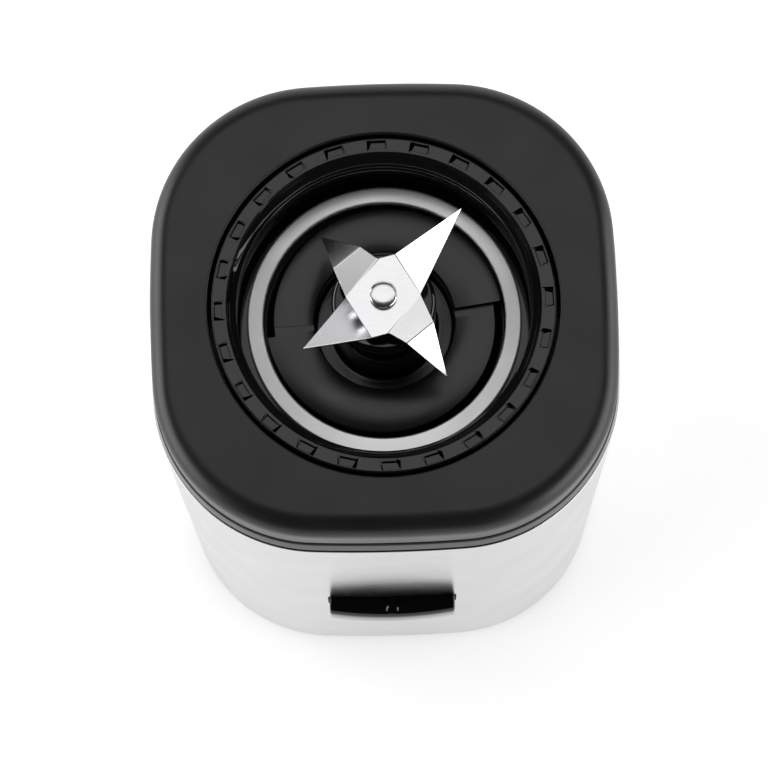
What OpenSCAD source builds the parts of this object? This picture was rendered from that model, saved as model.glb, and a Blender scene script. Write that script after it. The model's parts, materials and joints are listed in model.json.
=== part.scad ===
// Motor base of a countertop blender, with its blade unit seated in the well.
// Millimetres. Origin: centre of the footprint on the worktop. +Z is up, -Y is the front.

/* [Body] */
// Width of the steel sleeve at its top rim
base_w = 128; // [126:1:156]
// Height of the flat top of the cap above the worktop
top_h = 176; // [175:1:214]
// Corner radius of the sleeve, seen from above
corner_r = 45.4; // [36:0.2:55]
// Radius of the slight bulge of each side, seen from above
side_r = 400; // [250:10:600]
// How much the sleeve narrows towards the worktop, on each side
taper = 2.5; // [0:0.1:4]
// Thickness of the steel sleeve
sleeve_t = 1; // [0.6:0.1:1.4]
// Thickness of the cap moulding
cap_t = 2.6; // [2:0.1:3.2]
// Radius of the rolled edge of the cap
roll_r = 7.2; // [5:0.1:9]
// Height of the rubber feet below the base plate
foot_h = 2.4; // [1.5:0.1:5]
// Radius of each rubber foot
foot_r = 7; // [5:0.5:7.4]

/* [Blade unit] */
// Outer radius of the rim of the blade holder
rim_r = 46.4; // [45:0.1:47]
// Radius of the thread crests that take the jar
thread_r = 39.6; // [39:0.1:40]
// Depth of the thread
thread_depth = 1.6; // [1:0.1:1.8]
// Number of rim notches
notches = 24; // [12:1:28]
// Outer radius of the jar seal
seal_r = 37.4; // [36.8:0.1:38]
// Radial width of the jar seal
seal_w = 4.6; // [3.6:0.1:5]
// Thickness of the jar seal
seal_t = 2; // [1.5:0.1:2.6]
// Outer radius of the tower that carries the blade shaft
tower_r = 14; // [13:0.1:15]
// Thickness of the blade sheet
blade_t = 1.6; // [1.2:0.1:2]
// Height of the upswept blade tips above the blade hub
tip_rise = 18.5; // [12:0.5:22]
// Height of the downswept blade tips below the blade hub
tip_drop = 11.5; // [6:0.5:13]

/* [Drive] */
// Radius of the motor shaft
motor_shaft_r = 4; // [3.5:0.1:4.5]
// Radius of the blade shaft
blade_shaft_r = 4; // [3.5:0.1:4.5]
// Radial clearance of a shaft in its bearing
run_gap = 0.05; // [0.02:0.01:0.1]
// Height of the stator stack
stack_h = 40; // [34:1:44]
// Half of the stator's width
stator_half = 32; // [30:0.5:33]
// Radius of the armature
armature_r = 18; // [17:0.2:18.4]
// Number of armature slots
slots = 12; // [8:2:14]
// Radius of the cooling fan
fan_r = 27.6; // [24:0.2:28.4]
// Number of fan vanes
vanes = 9; // [7:1:13]
// Number of coupling lobes
lobes = 6; // [4:1:6]

/* [Switch and cord] */
// Width of the run lever
lever_w = 36; // [28:1:40]
// Thickness of the run lever
lever_t = 9.5; // [8:0.5:11]
// Height of the middle of the run lever
lever_z = 75.7; // [66:0.1:92]
// How far the run lever stands out of the sleeve
lever_out = 5.6; // [4:0.2:8]
// Radius of the bore for the mains cord
cord_r = 3.6; // [3:0.1:4.2]
// Height of the middle of the cord gland
gland_z = 22; // [18:0.5:30]

/* [Hidden] */

eps = 0.01;
half_w = base_w / 2;
corners = [[1, 1], [-1, 1], [-1, -1], [1, -1]];

// Levels, from the worktop up.
flange_t = 1.2;
plate_t = 4;
plate_top = foot_h + plate_t;
sleeve_z = foot_h + flange_t;
// Levels, from the top down.
cap_z = top_h - 12.5;
rim_z = top_h - 20;
skirt_z = rim_z - 8;
under_z = top_h - cap_t;
tub_z = top_h - 38.6;
deck_t = 3.4;
deck_z = tub_z - deck_t;

// The body's plan: four bulging sides joined by four corner arcs that touch them.
side_n = 6;
corner_n = 16;
side_c = half_w - side_r;
corner_c = (side_c + sqrt(2 * pow(side_r - corner_r, 2) - side_c * side_c)) / 2;
tangent_a = atan2(corner_c, corner_c - side_c);
function turn(p, a) = [p.x * cos(a) - p.y * sin(a), p.x * sin(a) + p.y * cos(a)];
function arc(c, r, a) = [c.x + r * cos(a), c.y + r * sin(a)];
function quadrant(inset) = [
    for (i = [0:side_n - 1])
        arc([side_c, 0], side_r - inset, tangent_a * (2 * i / side_n - 1)),
    for (i = [0:corner_n - 1])
        arc([corner_c, corner_c], corner_r - inset, tangent_a + (90 - 2 * tangent_a) * i / corner_n)
];
function outline(inset) = [for (q = [0:3]) for (p = quadrant(inset)) turn(p, 90 * q)];
// Inset of the tapered sleeve's outer face at a height.
function lean(z) = taper * (rim_z - z) / (rim_z - sleeve_z);

// A flat slab with the body's plan.
module slab(inset, z0, z1) {
    translate([0, 0, z0]) linear_extrude(z1 - z0) polygon(outline(inset));
}

// A closed profile of [inset, z] points carried round the body's plan.
module ring_loft(profile) {
    n = len(outline(0));
    m = len(profile);
    points = [for (p = profile) for (q = outline(p[0])) [q.x, q.y, p[1]]];
    faces = [for (j = [0:m - 1]) for (i = [0:n - 1])
        [j * n + (i + 1) % n, j * n + i, ((j + 1) % m) * n + i, ((j + 1) % m) * n + (i + 1) % n]];
    polyhedron(points = points, faces = faces, convexity = 6);
}

// An open profile of [inset, z] points, bottom to top, closed by flat ends.
module solid_loft(profile) {
    n = len(outline(0));
    m = len(profile);
    points = [for (p = profile) for (q = outline(p[0])) [q.x, q.y, p[1]]];
    sides = [for (j = [0:m - 2]) for (i = [0:n - 1])
        [j * n + (i + 1) % n, j * n + i, (j + 1) * n + i, (j + 1) * n + (i + 1) % n]];
    low = [[for (i = [0:n - 1]) i]];
    high = [[for (i = [0:n - 1]) m * n - 1 - i]];
    polyhedron(points = points, faces = concat(low, sides, high), convexity = 4);
}

// A round wire along a list of points.
function unit(v) = v / norm(v);
function heading(path, i) = unit(path[min(i + 1, len(path) - 1)] - path[max(i - 1, 0)]);
function across(d) = unit(cross(d, abs(d.z) < 0.8 ? [0, 0, 1] : [1, 0, 0]));
module wire(path, r, sides = 8) {
    n = len(path);
    points = [for (i = [0:n - 1]) let (d = heading(path, i), u = across(d), v = cross(d, u))
        for (k = [0:sides - 1]) path[i] + r * (u * cos(360 * k / sides) + v * sin(360 * k / sides))];
    skin = [for (i = [0:n - 2]) for (k = [0:sides - 1]) let (
        a = i * sides + k, b = i * sides + (k + 1) % sides, c = b + sides, d = a + sides)
        each [[b, a, c], [c, a, d]]];
    ends = [[for (k = [0:sides - 1]) k], [for (k = [0:sides - 1]) n * sides - 1 - k]];
    polyhedron(points = points, faces = concat(skin, ends), convexity = 8);
}

// A coil spring standing on z = 0.
module coil_spring(h, r, wire_r, turns) {
    steps = 10;
    path = [for (i = [0:turns * steps]) let (a = 360 * i / steps)
        [r * cos(a), r * sin(a), wire_r + (h - 2 * wire_r) * i / (turns * steps)]];
    wire(path, wire_r, 6);
}

module at_corners(c) {
    for (s = corners) translate([s.x * c, s.y * c, 0]) children();
}
module at_quarters(r) {
    for (a = [0:90:270]) rotate(a) translate([r, 0, 0]) children();
}
module tube(r_out, r_in, z0, z1) {
    difference() {
        translate([0, 0, z0]) cylinder(r = r_out, h = z1 - z0, $fn = 96);
        translate([0, 0, z0 - 1]) cylinder(r = r_in, h = z1 - z0 + 2, $fn = 96);
    }
}
module rod(r, z0, z1) {
    translate([0, 0, z0]) cylinder(r = r, h = z1 - z0, $fn = 48);
}
// A box from one corner to the opposite one.
module block(low, high) {
    translate(low) cube(high - low);
}

// Fasteners: one pan-head screw, drawn with its head at the bottom.
screw_r = 1.5;
screw_hole_r = screw_r + 0.25;
head_r = 3.2;
head_h = 2;
module screw(z0, length) {
    difference() {
        union() {
            rod(head_r, z0, z0 + head_h);
            rod(screw_r, z0 + head_h - eps, z0 + head_h + length);
        }
        for (a = [0, 90]) rotate(a) translate([-2, -0.4, z0 - eps]) cube([4, 0.8, 1.1]);
    }
}

// Outer shells ----------------------------------------------------------------------------------

hem_r = 3;
hem_n = 5;
lever_slot_gap = 0.5;
lever_drop = 1.9;
lever_inset = lean(lever_z);
lever_low = lever_z - lever_t / 2;
lever_high = lever_z + lever_t / 2;
gland_neck_r = cord_r + 3.2;
gland_flange_r = gland_neck_r + 2;

// Stainless sleeve: tapers towards a hem that turns in under the base.
module steel_sleeve() {
    low = lean(sleeve_z + hem_r);
    hem_out = [for (i = [hem_n:-1:0]) let (a = 90 * i / hem_n)
        [low + hem_r * (1 - cos(a)), sleeve_z + hem_r * (1 - sin(a))]];
    inner_r = hem_r - sleeve_t;
    hem_in = [for (i = [0:hem_n]) let (a = 90 * i / hem_n)
        [low + hem_r - inner_r * cos(a), sleeve_z + hem_r - inner_r * sin(a)]];
    profile = concat(hem_out, [[0, rim_z], [sleeve_t, rim_z]], hem_in);
    slot_x = lever_w / 2 + lever_slot_gap;
    color("silver") difference() {
        ring_loft(profile);
        block([-slot_x, -half_w - 5, lever_low - lever_drop],
            [slot_x, -half_w + 20, lever_high + lever_slot_gap]);
        translate([0, half_w - 20, gland_z]) rotate([-90, 0, 0])
            cylinder(r = gland_neck_r + 0.2, h = 30, $fn = 48);
    }
}

cap_in = 1.1;
opening_r = rim_r + 0.9;
opening_chamfer = 0.5;
spigot_in = cap_in + 2.7;
boss_c = half_w - 22.3;
boss_r = 4;
pilot_depth = 12;

// Soft-touch cap: rolled edge, round opening, spigot below and four screw bosses inside.
module top_cap() {
    roll_n = 7;
    outer = concat([[spigot_in, skirt_z], [spigot_in, cap_z], [cap_in, cap_z]],
        [for (i = [0:roll_n]) let (a = 90 * i / roll_n)
            [cap_in + roll_r * (1 - cos(a)), top_h - roll_r * (1 - sin(a))]]);
    in_r = roll_r - cap_t;
    cavity_in = spigot_in + cap_t;
    inner = concat([[cavity_in, skirt_z - 1], [cavity_in, cap_z + cap_t]],
        [for (i = [0:roll_n - 2]) let (a = 90 * i / (roll_n - 2))
            [max(cavity_in - (cavity_in - cap_in - cap_t) * sin(a), cap_in + cap_t)
                + in_r * (1 - cos(a)), under_z - in_r * (1 - sin(a))]]);
    color("#3c3c3d") difference() {
        union() {
            difference() {
                solid_loft(outer);
                solid_loft(inner);
            }
            at_corners(boss_c) rod(boss_r, tub_z, under_z + eps);
        }
        rod(opening_r, skirt_z, top_h + 1);
        translate([0, 0, top_h - opening_chamfer]) cylinder(r1 = opening_r,
            r2 = opening_r + opening_chamfer + eps, h = opening_chamfer + eps, $fn = 96);
        at_corners(boss_c) rod(screw_r, tub_z - 1, tub_z + pilot_depth);
    }
}

// Gloss trim between the cap and the sleeve, with a tongue behind the sleeve's rim.
part_gap = 0.2;
module cap_trim_ring() {
    top = cap_z - part_gap;
    foot = rim_z + part_gap;
    tongue = sleeve_t + 0.3;
    profile = [[tongue, skirt_z], [tongue, foot], [0.3, foot], [0.5, foot + 2.4],
        [1.1, top - 1.3], [1.6, top], [spigot_in - 0.2, top], [spigot_in - 0.2, skirt_z]];
    color("#18181a") ring_loft(profile);
}

// Inner structure -------------------------------------------------------------------------------

tub_t = 2.4;
tub_r = rim_r + 1.8;
tub_wall = 2.2;
recess_r = 24;
recess_z = tub_z - 10.4;
recess_floor = recess_z - tub_t;
key_w = 8;
key_z = tub_z + tub_t + 0.9;
key_h = 9;
key_r = rim_r + 0.5;
key_play = 0.4;
rib_w = 3;
rib_r = rim_r - 1;
safety_a = 157.5;
safety_r = 41;
safety_pin_r = 2.5;

// The well that takes the blade unit, with paired ribs that hold the unit's keys.
module seat_tub() {
    flange = 5.2;
    color("#1d1d1f") difference() {
        union() {
            tube(tub_r + tub_wall, tub_r, tub_z, under_z);
            tube(tub_r + flange, tub_r, under_z - 2, under_z);
            tube(tub_r + 1, recess_r, tub_z, tub_z + tub_t);
            tube(recess_r + tub_wall, recess_r, recess_floor, tub_z + tub_t);
            tube(recess_r + 1, motor_shaft_r + 1, recess_floor, recess_z);
            tube(motor_shaft_r + 2.6, motor_shaft_r + 1, recess_z - 1, recess_z + 2.2);
            for (a = [45:90:315], s = [-1, 1]) rotate(a)
                translate([rib_r, s * (key_w / 2 + key_play + rib_w / 2) - rib_w / 2, tub_z + 1])
                    cube([tub_r - rib_r + 1, rib_w, key_z + key_h - tub_z - 1]);
        }
        rotate(safety_a) translate([safety_r, 0, 0]) rod(safety_pin_r + run_gap, tub_z - 1, tub_z + 5);
    }
}

pillar_c = half_w - 30;
pillar_r = 5.5;
mount_r = 37;
mount_pad_r = 8;
mount_pad_h = 6;
mount_boss_r = 6;
mount_boss_h = 10;
bar_y = half_w - 24;
bar_t = 3.5;
bracket_low = lever_z - 25.7;
bracket_high = lever_z + 8.3;
safety_low = deck_z - 34;
safety_body = [11, 6.4, 12];

// Skeleton: a deck under the well, four pillars, a front bar and motor bosses.
module inner_frame() {
    color("#4a4b4d") difference() {
        union() {
            slab(cap_in + 1.9, deck_z, tub_z);
            at_corners(pillar_c) rod(pillar_r, plate_top, deck_z + eps);
            at_quarters(mount_r) rod(mount_boss_r, deck_z - mount_boss_h, deck_z + eps);
            block([-pillar_c, -bar_y, bracket_low], [pillar_c, -bar_y + bar_t, bracket_high]);
            rotate(safety_a) block([safety_r + safety_body.x / 2, -safety_body.y / 2, safety_low],
                [safety_r + safety_body.x / 2 + 2, safety_body.y / 2, deck_z + eps]);
        }
        rod(recess_r + tub_wall + 0.4, deck_z - 1, tub_z + 1);
        at_corners(boss_c) rod(screw_hole_r, deck_z - 1, tub_z + 1);
        at_corners(pillar_c) rod(screw_r, plate_top - 1, plate_top + pilot_depth);
        at_quarters(mount_r) rod(screw_r, deck_z - mount_boss_h - 1, deck_z + 2);
        rotate(safety_a) translate([safety_r, 0, 0]) rod(safety_pin_r + 0.4, deck_z - 1, tub_z + 1);
        for (x = [-26, 26]) translate([x, -bar_y - 1, bracket_low + 6]) rotate([-90, 0, 0])
            cylinder(r = screw_r, h = bar_t + 2, $fn = 32);
    }
}

foot_c = half_w - 22;
foot_seat = 1.2;
vent_n = 9;
vent_pitch = 6;
vent_w = 2.6;

// Base plate: a plug inside the sleeve's hem on a flange below it, with air slots.
module base_plate() {
    color("#2a2a2c") difference() {
        union() {
            slab(taper + 1.8, foot_h, sleeve_z);
            slab(taper + 3.6, sleeve_z - eps, plate_top);
        }
        at_corners(foot_c) rod(foot_r + 0.05, foot_h - 1, foot_h + foot_seat);
        at_corners(pillar_c) rod(screw_hole_r, foot_h - 1, plate_top + 1);
        at_corners(pillar_c) rod(head_r + 0.4, foot_h - 1, foot_h + head_h);
        for (i = [0:vent_n - 1]) let (x = (i - (vent_n - 1) / 2) * vent_pitch)
            block([x - vent_w / 2, -20, foot_h - 1], [x + vent_w / 2, 20, plate_top + 1]);
    }
}

module rubber_feet() {
    color("#141414") at_corners(foot_c) rod(foot_r, 0, foot_h + foot_seat);
}

module base_screws() {
    color("gainsboro") at_corners(pillar_c) screw(foot_h, pilot_depth);
}

module cap_screws() {
    color("gainsboro") at_corners(boss_c) screw(deck_z - head_h, pilot_depth);
}

// Strain relief in the rear wall: a flange outside, a nut inside and the cord's bore.
gland_out = 6.5;
module cord_gland() {
    face = half_w - lean(gland_z);
    inner = face - sleeve_t - 6;
    color("#1a1a1a") translate([0, 0, gland_z]) rotate([-90, 0, 0]) difference() {
        union() {
            rod(gland_neck_r, inner, face + 0.5);
            rod(gland_flange_r, face + 0.15, face + 2.2);
            rod(gland_flange_r, inner, face - sleeve_t - 0.3);
            rod(gland_neck_r - 0.8, face + 2, face + gland_out);
        }
        rod(cord_r, inner - 1, face + gland_out + 1);
    }
}

block_low = [-32, pillar_c + 8, plate_top];
block_size = [20, 10, 12];
module terminal_block() {
    color("ivory") difference() {
        translate(block_low) cube(block_size);
        for (i = [0:2]) translate(block_low + [3.5 + 6.5 * i, block_size.y / 2, block_size.z - 3])
            cylinder(r = 1.8, h = 4, $fn = 32);
    }
}

cap_low = [12, pillar_c + 9, plate_top];
cap_size = [20, 8, 13];
module suppression_capacitor() {
    color("#d8b93a") translate(cap_low) cube(cap_size);
}

// Motor -----------------------------------------------------------------------------------------

bore_gap = 0.5;
bracket_t = 8;
upper_low = deck_z - mount_boss_h - mount_pad_h - bracket_t;
stack_top = upper_low - 12;
stack_low = stack_top - stack_h;
bolt_c = stator_half - 7;
bolt_r = 2;
bolt_boss_r = 4.2;
coil_end = 8;
coil_in = armature_r + 3.5;
coil_out = coil_in + 6;
pole_half = 12.5;
coil_w = 7;
lower_low = stack_low - 30;
lower_t = 6;
motor_x = 14;

module rounded_square(half, r) {
    union() {
        for (s = corners) translate([s.x * (half - r), s.y * (half - r)]) circle(r = r, $fn = 48);
        square([2 * half, 2 * (half - r)], center = true);
        square([2 * (half - r), 2 * half], center = true);
    }
}

// Laminated stack: two poles along X, windows for the coils and bolt holes in the corners.
module stator_core() {
    color("#8d9095") translate([0, 0, stack_low]) linear_extrude(stack_h) difference() {
        rounded_square(stator_half, motor_x);
        circle(r = armature_r + bore_gap, $fn = 96);
        for (sx = [-1, 1], sy = [-1, 1]) translate([sx * (coil_in + coil_out) / 2,
            sy * (pole_half + coil_w / 2)]) square([coil_out - coil_in, coil_w], center = true);
        for (s = corners) translate([s.x * bolt_c, s.y * bolt_c]) circle(r = bolt_r + 0.1, $fn = 32);
    }
}

// One flat coil round each pole.
module field_coils() {
    play = 0.25;
    z0 = stack_low - coil_end;
    z1 = stack_top + coil_end;
    y_out = pole_half + coil_w - play;
    y_in = pole_half + play;
    color("#b5622c") for (s = [0, 1]) mirror([s, 0, 0]) difference() {
        block([coil_in + play, -y_out, z0], [coil_out - play, y_out, z1]);
        block([coil_in - 1, -y_in, stack_low - play], [coil_out + 1, y_in, stack_top + play]);
    }
}

arm_w = 13;
arm_reach = mount_r + 7;
diagonal_w = 9;
bearing_r = 11;
bearing_h = 7;
module diagonal_arms(h) {
    for (a = [45, 135]) rotate(a)
        translate([-(bolt_c * sqrt(2) + 4), -diagonal_w / 2, 0])
            cube([2 * (bolt_c * sqrt(2) + 4), diagonal_w, h]);
}

// Upper bracket: carries the ball bearing, hangs on the rubber mounts.
module upper_bracket() {
    color("#b9bcc0") difference() {
        union() {
            rod(bearing_r + 5, upper_low, upper_low + bracket_t);
            for (a = [0, 90]) rotate(a) block([-arm_reach, -arm_w / 2, upper_low + 4],
                [arm_reach, arm_w / 2, upper_low + bracket_t]);
            translate([0, 0, upper_low]) diagonal_arms(bracket_t - 2);
            at_corners(bolt_c) rod(bolt_boss_r, stack_top, upper_low + bracket_t - 1);
        }
        rod(bearing_r, upper_low - 1, upper_low + bearing_h);
        rod(bearing_r - 1.5, upper_low, upper_low + bracket_t + 1);
        at_corners(bolt_c) rod(bolt_r + 0.1, stack_top - 1, upper_low + bracket_t + 1);
        at_quarters(mount_r) rod(screw_hole_r, upper_low, upper_low + bracket_t + 1);
    }
}

bush_r = 7;
bush_h = 10;
bush_z = lower_low - 2;
// Lower bracket: carries the lower bush and the two brush holders.
module lower_bracket() {
    color("#b9bcc0") difference() {
        union() {
            rod(bush_r + 5, lower_low, lower_low + lower_t);
            translate([0, 0, lower_low + 0.5]) diagonal_arms(lower_t - 1);
            at_corners(bolt_c) rod(bolt_boss_r, lower_low, stack_low);
            block([-6, -28, lower_low + 1], [6, 28, lower_low + lower_t - 1]);
            for (s = [-1, 1]) block([-5.5, s * 22 - 5, lower_low + 2],
                [5.5, s * 22 + 5, brush_z - brush_half - 1.5]);
        }
        rod(bush_r, lower_low - 1, lower_low + lower_t + 1);
        at_corners(bolt_c) rod(bolt_r + 0.1, lower_low - 1, stack_low + 1);
    }
}

module bracket_screws() {
    color("gainsboro") at_corners(bolt_c) union() {
        rod(3.6, lower_low - 3, lower_low);
        rod(bolt_r, lower_low - eps, upper_low + bracket_t - 1);
    }
}

module motor_mounts() {
    color("#202020") at_quarters(mount_r) tube(mount_pad_r, screw_hole_r,
        upper_low + bracket_t, deck_z - mount_boss_h);
}

module mount_screws() {
    z = upper_low + 4 - head_h;
    color("gainsboro") at_quarters(mount_r) screw(z, deck_z - z - head_h);
}

commutator_r = 11;
commutator_low = stack_low - 20;
commutator_h = 12;
brush_z = commutator_low + commutator_h / 2;
brush_half = 3.5;
brush_gap = 0.1;
brush_len = 10;
holder_end = commutator_r + 16;

module brush_holders() {
    t = 1.5;
    color("#c9a13b") for (a = [90, 270]) rotate(a) difference() {
        block([commutator_r + 0.8, -brush_half - t, brush_z - brush_half - t],
            [holder_end, brush_half + t, brush_z + brush_half + t]);
        block([commutator_r, -brush_half - 0.05, brush_z - brush_half - 0.05],
            [holder_end - t, brush_half + 0.05, brush_z + brush_half + 0.05]);
    }
}

module carbon_brushes() {
    color("#2d2d2d") for (a = [90, 270]) rotate(a)
        block([commutator_r + brush_gap, -brush_half, brush_z - brush_half],
            [commutator_r + brush_gap + brush_len, brush_half, brush_z + brush_half]);
}

module brush_springs() {
    z = commutator_r + brush_gap + brush_len;
    color("silver") for (a = [90, 270]) rotate(a) translate([z, 0, brush_z]) rotate([0, 90, 0])
        coil_spring(holder_end - 1.5 - z, 2.2, 0.3, 4);
}

module upper_bearing_outer() {
    color("silver") tube(bearing_r, bearing_r - 2, upper_low, upper_low + bearing_h);
}

ball_r = 1.45;
ball_path = 7.5;
module bearing_balls() {
    color("gainsboro") for (i = [0:8]) rotate(i * 40)
        translate([ball_path, 0, upper_low + bearing_h / 2]) sphere(r = ball_r, $fn = 24);
}

module upper_bearing_inner() {
    color("silver") tube(ball_path - ball_r - run_gap, motor_shaft_r,
        upper_low, upper_low + bearing_h);
}

module lower_bush() {
    color("#a8793c") tube(bush_r, motor_shaft_r + run_gap, bush_z, bush_z + bush_h);
}

fan_h = 12;
fan_z = lower_low - 17;
fan_disc = 1.6;
module cooling_fan() {
    color("#e9e7df") difference() {
        union() {
            rod(8, fan_z, fan_z + fan_h);
            rod(fan_r, fan_z + fan_h - fan_disc, fan_z + fan_h);
            for (i = [0:vanes - 1]) rotate(360 * i / vanes) translate([6, 0, fan_z + 0.6])
                rotate([0, 0, 18]) cube([fan_r - 8.5, 1.4, fan_h - fan_disc]);
        }
        rod(motor_shaft_r, fan_z - 1, fan_z + fan_h + 1);
    }
}

// Ring round the fan, held under the lower bracket by four spokes.
module fan_shroud() {
    ring_in = fan_r + 0.9;
    ring_out = ring_in + 1.6;
    color("#303032") union() {
        tube(ring_out, ring_in, fan_z - 2, lower_low);
        difference() {
            for (a = [0, 90]) rotate(a) block([-ring_out + 0.5, -3, lower_low - 2],
                [ring_out - 0.5, 3, lower_low]);
            rod(bush_r + 1, lower_low - 3, lower_low + 1);
        }
    }
}

// Rotor -----------------------------------------------------------------------------------------

coupling_low = recess_z + 2.8;
coupling_top = tub_z + tub_t + 0.2;
module motor_shaft() {
    color("silver") rod(motor_shaft_r, fan_z - 1.5, coupling_low + 4);
}

slot_w = 2.6;
slot_in = 10.5;
module slot_bars(width, r0, r1, z0, z1) {
    for (i = [0:slots - 1]) rotate(360 * i / slots)
        block([r0, -width / 2, z0], [r1, width / 2, z1]);
}

module armature_core() {
    color("#7d8086") difference() {
        rod(armature_r, stack_low, stack_top);
        rod(motor_shaft_r, stack_low - 1, stack_top + 1);
        slot_bars(slot_w, slot_in, armature_r + 2, stack_low - 1, stack_top + 1);
    }
}

winding_end = 6;
module armature_winding() {
    gap = 0.2;
    z0 = stack_low - gap;
    z1 = stack_top + gap;
    color("#c1712f") union() {
        tube(armature_r - 1.5, motor_shaft_r + 1, z0 - winding_end, z0);
        tube(armature_r - 1.5, motor_shaft_r + 1, z1, z1 + winding_end);
        slot_bars(slot_w - 2 * gap, slot_in + gap, armature_r - 1.7, z0 - 1, z1 + 1);
    }
}

module commutator() {
    color("#b87333") difference() {
        rod(commutator_r, commutator_low, commutator_low + commutator_h);
        rod(motor_shaft_r, commutator_low - 1, commutator_low + commutator_h + 1);
        for (i = [0:slots - 1]) rotate(360 * (i + 0.5) / slots)
            block([commutator_r - 1.2, -0.3, commutator_low - 1],
                [commutator_r + 1, 0.3, commutator_low + commutator_h + 1]);
    }
}

lobe_r = 3;
lobe_path = 10.5;
star_r = 9;
star_gap = 0.5;
module star(grow, z0, z1) {
    rod(star_r + grow, z0, z1);
    for (i = [0:lobes - 1]) rotate(360 * i / lobes) translate([lobe_path, 0, 0])
        rod(lobe_r + grow, z0, z1);
}

// Socket on the motor shaft that drives the star under the blade unit.
module drive_coupling() {
    color("#26262a") difference() {
        rod(19, coupling_low, coupling_top);
        rod(motor_shaft_r, coupling_low - 1, coupling_low + 4);
        star(star_gap, coupling_low + 4, coupling_top + 1);
    }
}

// Run switch ------------------------------------------------------------------------------------

lever_face = half_w - lever_inset;
pivot_y = -(lever_face - 14.7);
pin_r = 1.5;
ear_gap = 0.6;
ear_t = 3.2;
shelf_z = lever_low - 11;
shelf_t = 2;
switch_y = pivot_y - 9;
button_r = 1.6;
button_gap = 0.3;
back_y = -bar_y;
back_t = 2.6;

// Bracket behind the front wall: ears for the pin and a shelf for the switch and springs.
module switch_bracket() {
    ear_in = lever_w / 2 + ear_gap;
    ear_out = ear_in + ear_t;
    color("#3a3b3d") difference() {
        union() {
            block([-30, back_y - back_t, bracket_low], [30, back_y, bracket_high]);
            block([-19, switch_y - 3.4, shelf_z - shelf_t], [19, back_y - back_t + eps, shelf_z]);
            block([-23, pivot_y - 4, shelf_z - shelf_t], [23, back_y - back_t + eps, shelf_z]);
            for (s = [-1, 1]) block([s > 0 ? ear_in : -ear_out, pivot_y - 4, shelf_z - eps],
                [s > 0 ? ear_out : -ear_in, back_y - back_t + eps, lever_z + 5]);
        }
        translate([-ear_out - 1, pivot_y, lever_z]) rotate([0, 90, 0])
            cylinder(r = pin_r, h = 2 * ear_out + 2, $fn = 32);
        for (x = [-26, 26]) translate([x, back_y - back_t - 1, bracket_low + 6])
            rotate([-90, 0, 0]) cylinder(r = screw_hole_r, h = back_t + 2, $fn = 32);
    }
}

module lever_pin() {
    reach = lever_w / 2 + ear_gap + ear_t + 0.6;
    color("gainsboro") translate([-reach, pivot_y, lever_z]) rotate([0, 90, 0])
        cylinder(r = pin_r, h = 2 * reach, $fn = 32);
}

switch_top = shelf_z + 7.4;
module run_switch() {
    color("#1b1b1b") difference() {
        block([-9.8, switch_y - 3.2, shelf_z], [9.8, switch_y + 3.2, switch_top]);
        translate([0, switch_y, 0]) rod(button_r + run_gap, switch_top - 4, switch_top + 1);
    }
}

module switch_button() {
    color("#c23b2e") translate([0, switch_y, 0])
        rod(button_r, switch_top - 2.4, lever_low - button_gap);
}

spring_x = 14;
spring_gap = 0.1;
module lever_springs() {
    color("silver") for (x = [-spring_x, spring_x]) translate([x, switch_y + 1, shelf_z + spring_gap])
        coil_spring(lever_low - shelf_z - 2 * spring_gap, 2.4, 0.35, 5);
}

// Run lever: a bar with a rounded nose, hinged behind the wall, with a finger dimple in front.
nose_r = 0.8;
lever_corner_r = 1.6;
lever_bow = 110;
module run_lever() {
    front = -(lever_face + lever_out);
    back = pivot_y + 4;
    plan_x = lever_w / 2;
    color("#0e0e0f") difference() {
        intersection() {
            translate([0, front + lever_bow, lever_low - 0.5])
                cylinder(r = lever_bow, h = lever_t + 1, $fn = 512);
            translate([0, 0, lever_low - 1]) linear_extrude(lever_t + 2) union() {
                translate([-plan_x, front + lever_corner_r]) square([lever_w, back - front - lever_corner_r]);
                translate([-plan_x + lever_corner_r, front])
                    square([lever_w - 2 * lever_corner_r, lever_corner_r + 1]);
                for (s = [-1, 1]) translate([s * (plan_x - lever_corner_r), front + lever_corner_r])
                    circle(r = lever_corner_r, $fn = 32);
            }
            translate([-plan_x - 1, 0, 0]) rotate([90, 0, 90]) linear_extrude(lever_w + 2) union() {
                translate([front + nose_r, lever_low]) square([back - front - nose_r, lever_t]);
                translate([front, lever_low + nose_r]) square([nose_r + 1, lever_t - 2 * nose_r]);
                for (z = [lever_low + nose_r, lever_high - nose_r])
                    translate([front + nose_r, z]) circle(r = nose_r, $fn = 32);
            }
        }
        translate([-plan_x - 2, pivot_y, lever_z]) rotate([0, 90, 0])
            cylinder(r = pin_r + run_gap, h = lever_w + 4, $fn = 32);
        translate([0, front - 3.9, lever_high + 3.9]) sphere(r = 6, $fn = 48);
    }
}

// Interlock -------------------------------------------------------------------------------------

safety_top = tub_z + tub_t + 0.2;
safety_switch_top = safety_low + safety_body.z;
collar_z = safety_switch_top + 10;
safety_travel = 3;
module safety_switch() {
    color("#1b1b1b") rotate(safety_a) difference() {
        block([safety_r - safety_body.x / 2, -safety_body.y / 2, safety_low],
            [safety_r + safety_body.x / 2, safety_body.y / 2, safety_switch_top]);
        translate([safety_r, 0, 0]) rod(safety_pin_r + run_gap, safety_low + 2, safety_switch_top + 1);
    }
}

module safety_pin() {
    color("#d9d9d4") rotate(safety_a) translate([safety_r, 0, 0]) union() {
        rod(safety_pin_r, safety_low + 3, safety_top);
        rod(safety_pin_r + 1.4, collar_z, collar_z + 1.5);
    }
}

module safety_spring() {
    color("silver") rotate(safety_a) translate([safety_r, 0, safety_switch_top + 0.05])
        coil_spring(collar_z - safety_switch_top - 0.1, safety_pin_r + 0.75, 0.35, 4);
}

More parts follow.
